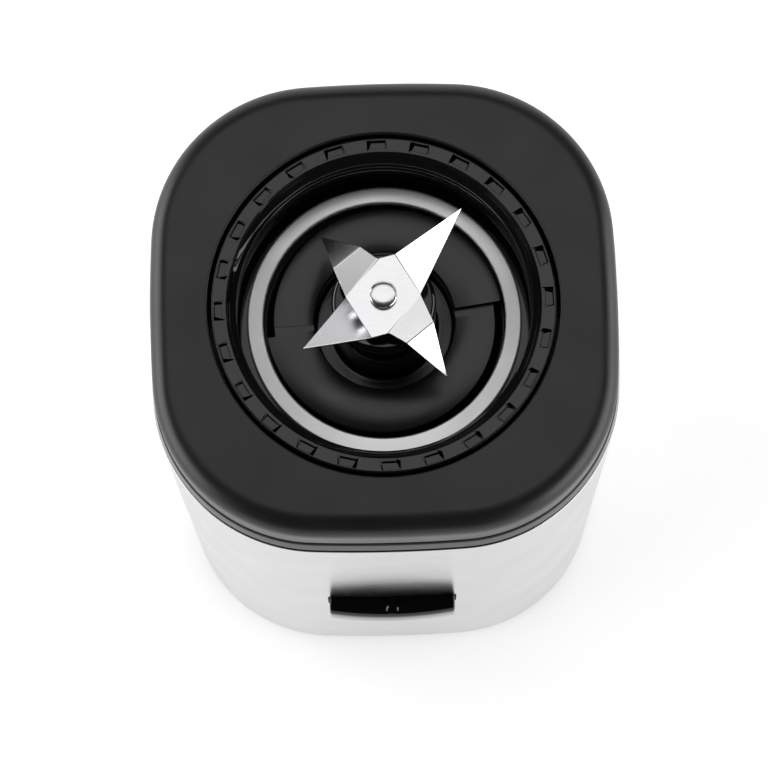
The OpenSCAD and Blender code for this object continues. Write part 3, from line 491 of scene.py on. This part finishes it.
def cap():
    """Soft-touch cap: rolled edge, round opening, and the spigot and bosses inside."""
    floor, under = CAP_EDGE, TOP - CAP_T
    base = SLEEVE_HIGH.z - 8 * MM
    cavity, inside, nearly = SPIGOT_IN + CAP_T, 14 * MM, 0.001 * MM
    outer = rounded([
        (cavity, base, 0.3 * MM), (SPIGOT_IN, base, 0.3 * MM), (SPIGOT_IN, floor, 0.2 * MM),
        (CAP_IN, floor, 0.45 * MM), (CAP_IN, TOP, ROLL_R), (inside, TOP, 0),
        (inside, under, 0), (CAP_IN + CAP_T, under, ROLL_R - CAP_T),
        (CAP_IN + CAP_T, floor + CAP_T, 0.3 * MM), (cavity, floor + CAP_T, 0.5 * MM)], 12)
    rings = []
    lip = rounded([(OPENING_R + 6 * MM, under, 0), (OPENING_R, under, 0.3 * MM),
                   (OPENING_R, TOP, 0.6 * MM), (OPENING_R + 6 * MM, TOP, 0)], 5)
    for x, z in outer:
        if x < inside - nearly:
            rings.append(plan_ring(x, z))
        elif z > TOP - nearly:
            rings += [round_ring(r, h) for r, h in reversed(lip)]
    shell = ring_mesh("cap_shell", rings)
    boss_at = HALF - 22.3 * MM
    bosses = []
    for sx in (-1, 1):
        for sy in (-1, 1):
            boss = lathe("boss", rounded([(1.5 * MM, CAP_LOW.z, 0.3 * MM),
                                          (4 * MM, CAP_LOW.z, 0.5 * MM), (4.3 * MM, under, 0),
                                          (1.5 * MM, under, 0)]), 40)
            boss.data.transform(Matrix.Translation((sx * boss_at, sy * boss_at, 0)))
            bosses.append(boss)
    return stand_for(joined("top_cap_shell", [shell] + bosses), "top_cap")


def trim():
    """Gloss band between the cap and the sleeve, with its tongue behind the sleeve's rim."""
    top, foot, low = TRIM_HIGH.z, SLEEVE_HIGH.z + 0.2 * MM, TRIM_LOW.z
    tongue, back = SHEET_T + 0.3 * MM, SPIGOT_IN - 0.2 * MM
    profile = rounded([
        (tongue, low, 0.2 * MM), (tongue, foot, 0.1 * MM), (0.5 * MM, foot, 0.5 * MM),
        (0.3 * MM, foot + 1.4 * MM, 2 * MM), (0.8 * MM, top - 1.2 * MM, 2 * MM),
        (1.9 * MM, top, 0.5 * MM), (back, top, 0.2 * MM), (back, low, 0.2 * MM)], 5)
    return stand_for(ring_mesh("cap_trim_band", [plan_ring(*p) for p in profile]),
                     "cap_trim_ring", dark_band)


sleeve()
cap()
trim()

# Blade unit --------------------------------------------------------------------------------------

THREAD_R = 39.6 * MM
WALL_R = THREAD_R + 1.6 * MM
SEAT_R = SEAL_HIGH.x - 4.6 * MM
TOWER_R = HUB_HIGH.x
RIM_Z = TOP - 0.5 * MM
FLOOR_Z = TOP - 19.6 * MM
GROOVE_Z = TOP - 24.6 * MM
UNDER_Z = TOP - 27.6 * MM
TRENCH_Z = TOP - 27 * MM


def named_tree(name, inputs):
    """A geometry tree with a geometry input and output and the named number inputs."""
    tree = bpy.data.node_groups.new(name, "GeometryNodeTree")
    face = tree.interface
    face.new_socket("Geometry", in_out="INPUT", socket_type="NodeSocketGeometry")
    for key, value in inputs.items():
        kind = "NodeSocketInt" if isinstance(value, int) else "NodeSocketFloat"
        face.new_socket(key, in_out="INPUT", socket_type=kind).default_value = value
    face.new_socket("Geometry", in_out="OUTPUT", socket_type="NodeSocketGeometry")
    return tree, put(tree, "NodeGroupInput")


def grown(name, tree, values):
    """The plain mesh that a geometry tree makes with the given input values."""
    piece = bpy.data.objects.new(name, bpy.data.meshes.new(name))
    bpy.context.scene.collection.objects.link(piece)
    step = piece.modifiers.new("grow", "NODES")
    step.node_group = tree
    for item in tree.interface.items_tree:
        if item.in_out == "INPUT" and item.name in values:
            step[item.identifier] = values[item.name]
    baked(piece)
    tidy(piece)
    return piece


RING = {"Count": 4, "Radius": 1.0, "Level": 0.0, "Start": 0.0}


def ringed(tree, given, shape, material):
    """Ends a tree with copies of a shape round a circle, each turned outwards."""
    circle = put(tree, "GeometryNodeMeshCircle", {"Vertices": given.outputs["Count"],
                                                  "Radius": given.outputs["Radius"]})
    index = put(tree, "GeometryNodeInputIndex")
    share = put(tree, "ShaderNodeMath", {0: index.outputs["Index"],
                                         1: given.outputs["Count"]}, operation="DIVIDE")
    angle = put(tree, "ShaderNodeMath", {0: share.outputs["Value"], 1: 2 * pi},
                operation="MULTIPLY")
    turn = put(tree, "ShaderNodeCombineXYZ", {"Z": angle.outputs["Value"]})
    copies = put(tree, "GeometryNodeInstanceOnPoints",
                 {"Points": circle.outputs["Mesh"], "Instance": shape,
                  "Rotation": turn.outputs["Vector"]})
    lift = put(tree, "ShaderNodeCombineXYZ", {"Z": given.outputs["Level"]})
    spin = put(tree, "ShaderNodeCombineXYZ", {"Z": given.outputs["Start"]})
    placed = put(tree, "GeometryNodeTransform",
                 {"Geometry": copies.outputs["Instances"], "Translation": lift.outputs["Vector"],
                  "Rotation": spin.outputs["Vector"]})
    real = put(tree, "GeometryNodeRealizeInstances", {"Geometry": placed.outputs["Geometry"]})
    skin = put(tree, "GeometryNodeSetMaterial", {"Geometry": real.outputs["Geometry"],
                                                 "Material": material})
    put(tree, "NodeGroupOutput", {"Geometry": skin.outputs["Geometry"]})


def ring_of_blocks(name, count, radius, size, level, start):
    """Equal blocks round a circle, made by a tree and returned as one mesh."""
    tree, given = named_tree(name, {"Width": 1.0, "Length": 1.0, "Height": 1.0, **RING})
    size_of = put(tree, "ShaderNodeCombineXYZ", {"X": given.outputs["Width"],
                                                 "Y": given.outputs["Length"],
                                                 "Z": given.outputs["Height"]})
    box = put(tree, "GeometryNodeMeshCube", {"Size": size_of.outputs["Vector"]})
    ringed(tree, given, box.outputs["Mesh"], satin_pp)
    return grown(name, tree, {"Count": count, "Radius": radius, "Width": size[0],
                              "Length": size[1], "Height": size[2], "Level": level,
                              "Start": start})


def ring_of_studs(name, count, radius, profile, start):
    """Equal turned studs round a circle, made by a tree and returned as one mesh."""
    stud = solid_lathe("stud", profile, 48)
    tree, given = named_tree(name, RING)
    one = put(tree, "GeometryNodeObjectInfo", {"Object": stud})
    ringed(tree, given, one.outputs["Geometry"], rubber)
    piece = grown(name, tree, {"Count": count, "Radius": radius, "Start": start})
    bpy.data.objects.remove(stud)
    return piece


NOTCHES = 24
NOTCH_TURN = radians(1.3)
NOTCH_SIZE = (2.2 * MM, 4.8 * MM, 2.4 * MM)
THREAD_PITCH = 3.1 * MM
THREAD_TURNS = 4.0
THREAD_BASE = 2.2 * MM
THREAD_START = 178
RAMP_STARTS = (188, 8)
RAMP_SWEEP = 174


def helix_ridge(name, crest_r, root, pitch, top_z, turns, height, start, steps=90):
    """A right-hand thread ridge that grows out of the wall and fades away at its end."""
    rings = []
    total = int(turns * steps)
    for i in range(total + 1):
        a = radians(start) - 2 * pi * i / steps
        z = top_z - pitch * i / steps
        grow = min(1, i / 12, (total - i) / 8)
        crest = root - (root - crest_r) * grow
        flank, tip = height * 0.5, height * 0.17
        lip = min(0.16 * MM, (root - crest) * 0.3)
        section = [(root + 0.3 * MM, z - flank), (crest + lip, z - tip - lip), (crest, z - tip),
                   (crest, z + tip), (crest + lip, z + tip + lip), (root + 0.3 * MM, z + flank)]
        rings.append([(r * cos(a), r * sin(a), h) for r, h in section])
    return swept(name, rings)


def floor_ramp(start):
    """Half-turn ramp on the cup's floor, which falls and narrows from a step."""
    count, rise, narrow = 72, 1.8 * MM, 2.1 * MM
    r0, low = TOWER_R + 5.2 * MM, GROOVE_Z + 0.7 * MM
    rings = []
    for i in range(count + 1):
        a = radians(start + RAMP_SWEEP * i / count)
        z = FLOOR_Z + 0.2 * MM + rise * (1 - i / count)
        r1 = SEAT_R - 0.5 * MM - narrow * i / count
        edge = 0.3 * MM
        section = [(r0, low), (r1, low), (r1, z - edge), (r1 - edge * 0.3, z - edge * 0.3),
                   (r1 - edge, z), (r0 + edge, z), (r0 + edge * 0.3, z - edge * 0.3),
                   (r0, z - edge)]
        rings.append([(r * cos(a), r * sin(a), h) for r, h in section])
    return swept("ramp", rings)


def holder():
    """Threaded cup with a notched rim, a seal ledge, floor ramps and the tower."""
    low, ledge = HOLDER_LOW.z, SEAL_LOW.z
    neck = TOWER_R - 1.3 * MM
    bore, bush_low, tower_top = 7 * MM, TOP - 29.5 * MM, TOP + 0.8 * MM
    shaft = 5 * MM
    profile = rounded([
        (RIM_R - 1.8 * MM, low, 0.4 * MM), (RIM_R - 1.8 * MM, TOP - 22.5 * MM, 0.8 * MM),
        (RIM_R, TOP - 21.5 * MM, 0.8 * MM), (RIM_R, RIM_Z, 0.6 * MM),
        (WALL_R + 1.1 * MM, RIM_Z, 0.25 * MM), (WALL_R + 0.7 * MM, RIM_Z - 0.5 * MM, 0.15 * MM),
        (WALL_R, RIM_Z - 0.8 * MM, 0.3 * MM), (WALL_R, ledge, 0.6 * MM),
        (SEAT_R, ledge, 0.3 * MM), (SEAT_R, GROOVE_Z, 0.3 * MM),
        (SEAT_R - 2.8 * MM, FLOOR_Z, 0.2 * MM),
        (TOWER_R + 5 * MM, FLOOR_Z, 0.3 * MM), (TOWER_R + 5 * MM, TRENCH_Z, 0.8 * MM),
        (TOWER_R, TRENCH_Z, 1.2 * MM), (TOWER_R, HUB_LOW.z - 0.2 * MM, 0.2 * MM),
        (neck, HUB_LOW.z - 0.2 * MM, 0.2 * MM), (neck, tower_top, 0.4 * MM),
        (bore, tower_top, 0.3 * MM), (bore, bush_low, 0.1 * MM),
        (shaft, bush_low, 0.1 * MM), (shaft, bush_low - 1.4 * MM, 0.3 * MM),
        (TOWER_R + 6.5 * MM, bush_low - 1.4 * MM, 0.5 * MM),
        (TOWER_R + 6.5 * MM, UNDER_Z, 0.5 * MM), (SEAT_R + 2 * MM, UNDER_Z, 0.5 * MM),
        (SEAT_R + 2 * MM, ledge - 3 * MM, 0.5 * MM), (WALL_R - 1.2 * MM, ledge - 3 * MM, 0.8 * MM),
        (WALL_R - 1.2 * MM, low, 0.4 * MM)], 4)
    cup = lathe("cup", profile, 240)
    notch = ring_of_blocks("rim_notches", NOTCHES, RIM_R - 2.1 * MM,
                           NOTCH_SIZE, RIM_Z, NOTCH_TURN)
    cut(cup, notch)
    bevel(cup, 0.2 * MM, 2, 60)
    thread = helix_ridge("thread", THREAD_R, WALL_R, THREAD_PITCH, RIM_Z - 1.4 * MM,
                         THREAD_TURNS, THREAD_BASE, THREAD_START)
    ramps = [floor_ramp(start) for start in RAMP_STARTS]
    keys = []
    for k in range(4):
        key = block("key", (RIM_R - 2.4 * MM, -4 * MM, TOP - 35.3 * MM),
                    (RIM_R + 0.5 * MM, 4 * MM, TOP - 26.3 * MM))
        bevel(key, 0.5 * MM, 3)
        key.data.transform(Matrix.Rotation(radians(45 + 90 * k), 4, "Z"))
        keys.append(key)
    whole = joined("blade_holder_cup", [cup, thread] + ramps + keys)
    return stand_for(whole, "blade_holder", semi_gloss)


def seal():
    """Jar seal: a flat silicone ring with rounded edges."""
    inner, outer = SEAT_R + 0.1 * MM, SEAL_HIGH.x
    low, top = SEAL_LOW.z, SEAL_HIGH.z
    profile = rounded([(inner, low, 0.2 * MM), (outer, low, 0.2 * MM), (outer, top, 0.5 * MM),
                       (inner, top, 0.5 * MM)], 6)
    return stand_for(lathe("jar_seal_ring", profile, 240), "jar_seal")


def hub():
    """Moulded cap pressed over the tower."""
    inner, hole = TOWER_R - 1.2 * MM, 5 * MM
    low, top = HUB_LOW.z, HUB_HIGH.z
    profile = rounded([
        (inner, low, 0.1 * MM), (TOWER_R, low, 0.3 * MM), (TOWER_R, top, 1.6 * MM),
        (hole, top, 0.3 * MM), (hole, top - 1.1 * MM, 0.1 * MM),
        (inner, top - 1.1 * MM, 0.4 * MM)], 6)
    return stand_for(lathe("hub_cap_shell", profile, 160), "hub_cap")


holder()
seal()
hub()

# Blade -------------------------------------------------------------------------------------------

SHEET = 1.6 * MM
BLADE_Z = TOP + 7.2 * MM
FOLD_UP = 1.2


def wing(along, out, z, turn):
    """A point of a wing: along its fold, outwards from the axis, and up from the hub."""
    a = radians(turn)
    return Vector((out * cos(a) + along * sin(a), out * sin(a) - along * cos(a), z)) * MM


def blade():
    """Blade: a flat hub, two wings swept up, two folded up and then down, edges ground thin."""
    # Two directions of the wings, in degrees; each corner is along, out and up in millimetres.
    sweep, fold = 30.1, 140.4
    half = [wing(4.7, 8.7, 0, sweep), wing(-8.1, 8.7, 0, sweep), wing(7, 7.5, 0, fold),
            wing(-6.4, 7.5, 0, fold)]
    tips = [wing(-5.3, 27.4, 18.5, sweep), wing(-2.4, 15, FOLD_UP, fold),
            wing(6.5, 13.1, FOLD_UP, fold), wing(4.7, 25.3, -11.5, fold)]
    flip = Matrix.Rotation(pi, 3, "Z")
    middle = half + [flip @ p for p in half] + tips + [flip @ p for p in tips]
    facets = [[0, 1, 2, 3, 4, 5, 6, 7], [1, 0, 8], [3, 2, 10, 9], [9, 10, 11],
              [5, 4, 12], [7, 6, 14, 13], [13, 14, 15]]
    bm = bmesh.new()
    verts = [bm.verts.new(p) for p in middle]
    for f in facets:
        bm.faces.new([verts[i] for i in f])
    bmesh.ops.recalc_face_normals(bm, faces=bm.faces)
    folds = [e for e in bm.edges if len(e.link_faces) == 2]
    bmesh.ops.bevel(bm, geom=folds, offset=0.35 * MM, segments=3, affect="EDGES", profile=0.5)
    bm.verts.index_update()
    n, half_t = len(bm.verts), SHEET * 0.43
    points = [v.co + Vector((0, 0, BLADE_Z + lift)) for lift in (half_t, -half_t)
              for v in bm.verts]
    upper = [[v.index for v in f.verts] for f in bm.faces]
    rim = [(loop.vert.index, loop.link_loop_next.vert.index)
           for f in bm.faces for loop in f.loops if len(loop.edge.link_faces) == 1]
    bm.free()
    faces = upper + [[i + n for i in reversed(f)] for f in upper]
    faces += [(b, a, a + n, b + n) for a, b in rim]
    piece = mesh_of("cutting_blade_sheet", points, faces)
    tidy(piece, 30)
    bevel(piece, 0.34 * MM, 2, 50)
    flat_planes(piece, 2 * MM * MM)
    return stand_for(piece, "cutting_blade")


def blade_shaft():
    """Blade shaft, its end peened over the hub into a low dome with two flats."""
    low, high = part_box("blade_shaft")
    r, head, flat = 4 * MM, 3.75 * MM, 3.45 * MM
    profile = [(0, low.z), (r - 0.5 * MM, low.z), (r, low.z + 0.5 * MM), (r, BLADE_Z),
               (head, BLADE_Z), (head, high.z - 0.75 * MM), (head - 0.1 * MM, high.z - 0.5 * MM),
               (head - 0.35 * MM, high.z - 0.3 * MM), (head - 0.9 * MM, high.z - 0.12 * MM),
               (head - 1.8 * MM, high.z), (head - 2.7 * MM, high.z - 0.02 * MM),
               (0, high.z - 0.1 * MM)]
    piece = solid_lathe("blade_shaft_bar", profile, 96)
    for v in piece.data.vertices:
        if v.co.z > BLADE_Z + SHEET / 2:
            v.co.x = max(-flat, min(flat, v.co.x))
    tidy(piece, 35)
    return stand_for(piece, "blade_shaft")


def spacer():
    low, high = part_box("blade_spacer")
    profile = rounded([(4 * MM, low.z, 0.1 * MM), (high.x, low.z, 0.5 * MM),
                       (high.x, high.z, 0.4 * MM), (4 * MM, high.z, 0.1 * MM)], 4)
    return stand_for(lathe("blade_spacer_collar", profile, 96), "blade_spacer", turned_steel)


blade()
blade_shaft()
spacer()

# Run lever ---------------------------------------------------------------------------------------


def lever():
    """Run lever: a polished bar with a bowed, rolled front and a shallow finger dimple."""
    low, high = LEVER_LOW, LEVER_HIGH
    bow, nose, edge = 110 * MM, 3.2 * MM, 0.7 * MM

    def plan(side, lead, z):
        """The bar's outline at a height, moved in at its sides and at its front."""
        x1, y1 = high.x - side, high.y - side
        span = [x1 * 0.92 * k / 12 for k in range(-12, 13)]
        lip = [(x, low.y + lead + bow - sqrt(bow * bow - x * x), 0) for x in [-x1] + span + [x1]]
        ends = [(x1, y1, 0.6 * MM), (-x1, y1, 0.6 * MM), lip[0][:2] + (1.6 * MM,)]
        return [(p.x, p.y, z) for p in
                rounded(ends + lip[1:-1] + [lip[-1][:2] + (1.6 * MM,)], 6)]

    rings = []
    for k in range(5):
        a = pi / 2 * k / 4
        side = edge * (1 - sin(a))
        rings.append(plan(side, side, low.z + edge * (1 - cos(a))))
    for k in range(11):
        a = pi / 2 * k / 10
        drop = nose * (1 - sin(a))
        near = max(0, edge - drop)
        rings.append(plan(edge - sqrt(edge * edge - near * near), nose * (1 - cos(a)),
                          high.z - drop))
    piece = swept("run_lever_bar", rings)
    ball, behind, above = 3 * MM, 1.2 * MM, 2 * MM
    arc = [(ball * cos(radians(a)), ball * sin(radians(a))) for a in range(-84, 90, 6)]
    dent = solid_lathe("dent", [(0, -ball)] + arc + [(0, ball)], 64)
    dent.data.transform(Matrix.Translation((0, low.y + behind, high.z + above)))
    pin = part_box("lever_pin")
    bore, reach = 1.55 * MM, 25 * MM
    hole = solid_lathe("pin_hole", [(0, -reach), (bore, -reach), (bore, reach), (0, reach)], 32)
    hole.data.transform(Matrix.Translation((0, (pin[0].y + pin[1].y) / 2,
                                            (pin[0].z + pin[1].z) / 2))
                        @ Matrix.Rotation(pi / 2, 4, "Y"))
    cut(piece, dent, hole)
    flat_planes(piece, 20 * MM * MM)
    return stand_for(piece, "run_lever")


lever()

def coil(x, y, low, high, radius, wire, turns):
    """A compression spring standing between two heights, its end turns closed flat."""
    per_turn, sides = 32, 10
    total = turns * per_turn
    rings = []
    for i in range(total + 1):
        share = min(1, max(0, (i / total - 0.5) / (1 - 1.2 / turns) + 0.5))
        z = low + wire + (high - low - 2 * wire) * share
        a = 2 * pi * i / per_turn
        rings.append([(x + (radius + wire * cos(b)) * cos(a), y + (radius + wire * cos(b)) * sin(a),
                       z + wire * sin(b)) for b in (2 * pi * k / sides for k in range(sides))])
    return swept("coil", rings)


def return_springs():
    """Return springs under the lever, which shorten as it is pressed."""
    low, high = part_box("lever_springs")
    outer, wire = (high.y - low.y) / 2, 0.35 * MM
    middle = (low.y + high.y) / 2
    pair = [coil(side * (high.x - outer), middle, low.z, high.z, outer - wire, wire, 6)
            for side in (-1, 1)]
    piece = stand_for(joined("lever_spring_pair", pair), "lever_springs")
    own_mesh(piece)


return_springs()

# Underside and rear -------------------------------------------------------------------------------


def feet():
    """Rubber feet with a rounded tread and a shallow cup in the middle, so that they grip."""
    low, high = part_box("rubber_feet")
    r = 7 * MM
    at = high.x - r
    tread = rounded([(2.6 * MM, low.z + 0.7 * MM, 0.4 * MM), (3.4 * MM, low.z, 0.5 * MM),
                     (r - 0.3 * MM, low.z, 0.9 * MM), (r, high.z, 0.1 * MM),
                     (r * 0.5, high.z, 0)], 4)
    profile = [(0, low.z + 0.7 * MM)] + [tuple(p) for p in tread] + [(0, high.z)]
    piece = ring_of_studs("rubber_foot_set", 4, at * sqrt(2), profile, pi / 4)
    return stand_for(piece, "rubber_feet")


feet()

# Every part that keeps its own shape gets its finish.
for node, part in frame["nodes"].items():
    if not part.hide_render:
        paint(part, FINISHES[SLOTS[node]])

# Studio ------------------------------------------------------------------------------------------


def floor():
    """Plain pale floor."""
    size = 6.0
    points = [(-size, -size, 0), (size, -size, 0), (size, size, 0), (-size, size, 0)]
    plane = mesh_of("studio_floor", points, [(0, 1, 2, 3)])
    material = bpy.data.materials.new("white_sweep")
    material.use_nodes = True
    tree = material.node_tree
    tree.nodes.clear()
    place = put(tree, "ShaderNodeTexCoord")
    away = put(tree, "ShaderNodeVectorMath", {0: place.outputs["Object"]}, operation="LENGTH")
    glow = put(tree, "ShaderNodeMapRange", {"Value": away.outputs["Value"], "From Min": 0.9,
                                            "From Max": 1.6, "To Min": 0.5, "To Max": 1.0})
    shader = put(tree, "ShaderNodeBsdfPrincipled",
                 {"Base Color": linear("#f4f4f4"), "Roughness": 0.9,
                  "Emission Color": linear("#ffffff"),
                  "Emission Strength": glow.outputs["Result"]})
    put(tree, "ShaderNodeOutputMaterial", {"Surface": shader.outputs["BSDF"]})
    paint(plane, material)


def softbox(name, place, aim, width, height, level):
    """An area light of a given brightness, turned towards a point."""
    lamp = bpy.data.lights.new(name, "AREA")
    lamp.shape = "RECTANGLE"
    lamp.size, lamp.size_y = width, height
    lamp.energy = level * pi * width * height
    box = bpy.data.objects.new(name, lamp)
    box.location = place
    box.rotation_euler = (Vector(aim) - Vector(place)).to_track_quat("-Z", "Y").to_euler()
    box.visible_camera = False
    bpy.context.scene.collection.objects.link(box)


def studio():
    floor()
    centre = (0, 0, 0.12)
    softbox("overhead", (0, 0.40, 1.35), (0, 0.38, 0.1), 1.5, 0.76, 1.25)
    softbox("left_wall", (-1.25, 0.05, 0.42), centre, 1.9, 0.84, 3.6)
    softbox("right_wall", (1.25, -0.34, 0.42), centre, 1.9, 0.84, 3.4)
    softbox("back_wall", (0, 1.5, 0.45), centre, 1.6, 0.8, 1.0)
    world = bpy.data.worlds.new("studio_air")
    bpy.context.scene.world = world
    world.use_nodes = True
    background = world.node_tree.nodes["Background"]
    background.inputs["Color"].default_value = linear("#ffffff")
    background.inputs["Strength"].default_value = 0.03
    bpy.context.scene.view_settings.view_transform = "Standard"


def camera():
    """A long lens high in front, turned a little, aimed below the cap."""
    elevation, roll, turn = radians(76.8), radians(-2.6), radians(1.22)
    distance, below, beside = 1.0265, 21.6 * MM, 0.1 * MM
    ahead = Vector((0, cos(elevation), -sin(elevation)))
    level_up = Vector((0, sin(elevation), cos(elevation)))
    level_right = Vector((1, 0, 0))
    right = level_right * cos(roll) + level_up * sin(roll)
    up = level_up * cos(roll) - level_right * sin(roll)
    data = bpy.data.cameras.new("camera")
    data.sensor_width = 36
    data.lens = 180
    data.clip_start, data.clip_end = 0.05, 50
    eye = bpy.data.objects.new("camera", data)
    bpy.context.scene.collection.objects.link(eye)
    turned = Matrix.Rotation(turn, 3, "Z")
    right, up, ahead = turned @ right, turned @ up, turned @ ahead
    place = Vector((0, 0, TOP)) - ahead * distance - up * below + right * beside
    pose = Matrix((right, up, -ahead)).transposed().to_4x4()
    eye.matrix_world = Matrix.Translation(place) @ pose
    bpy.context.scene.camera = eye


studio()
camera()
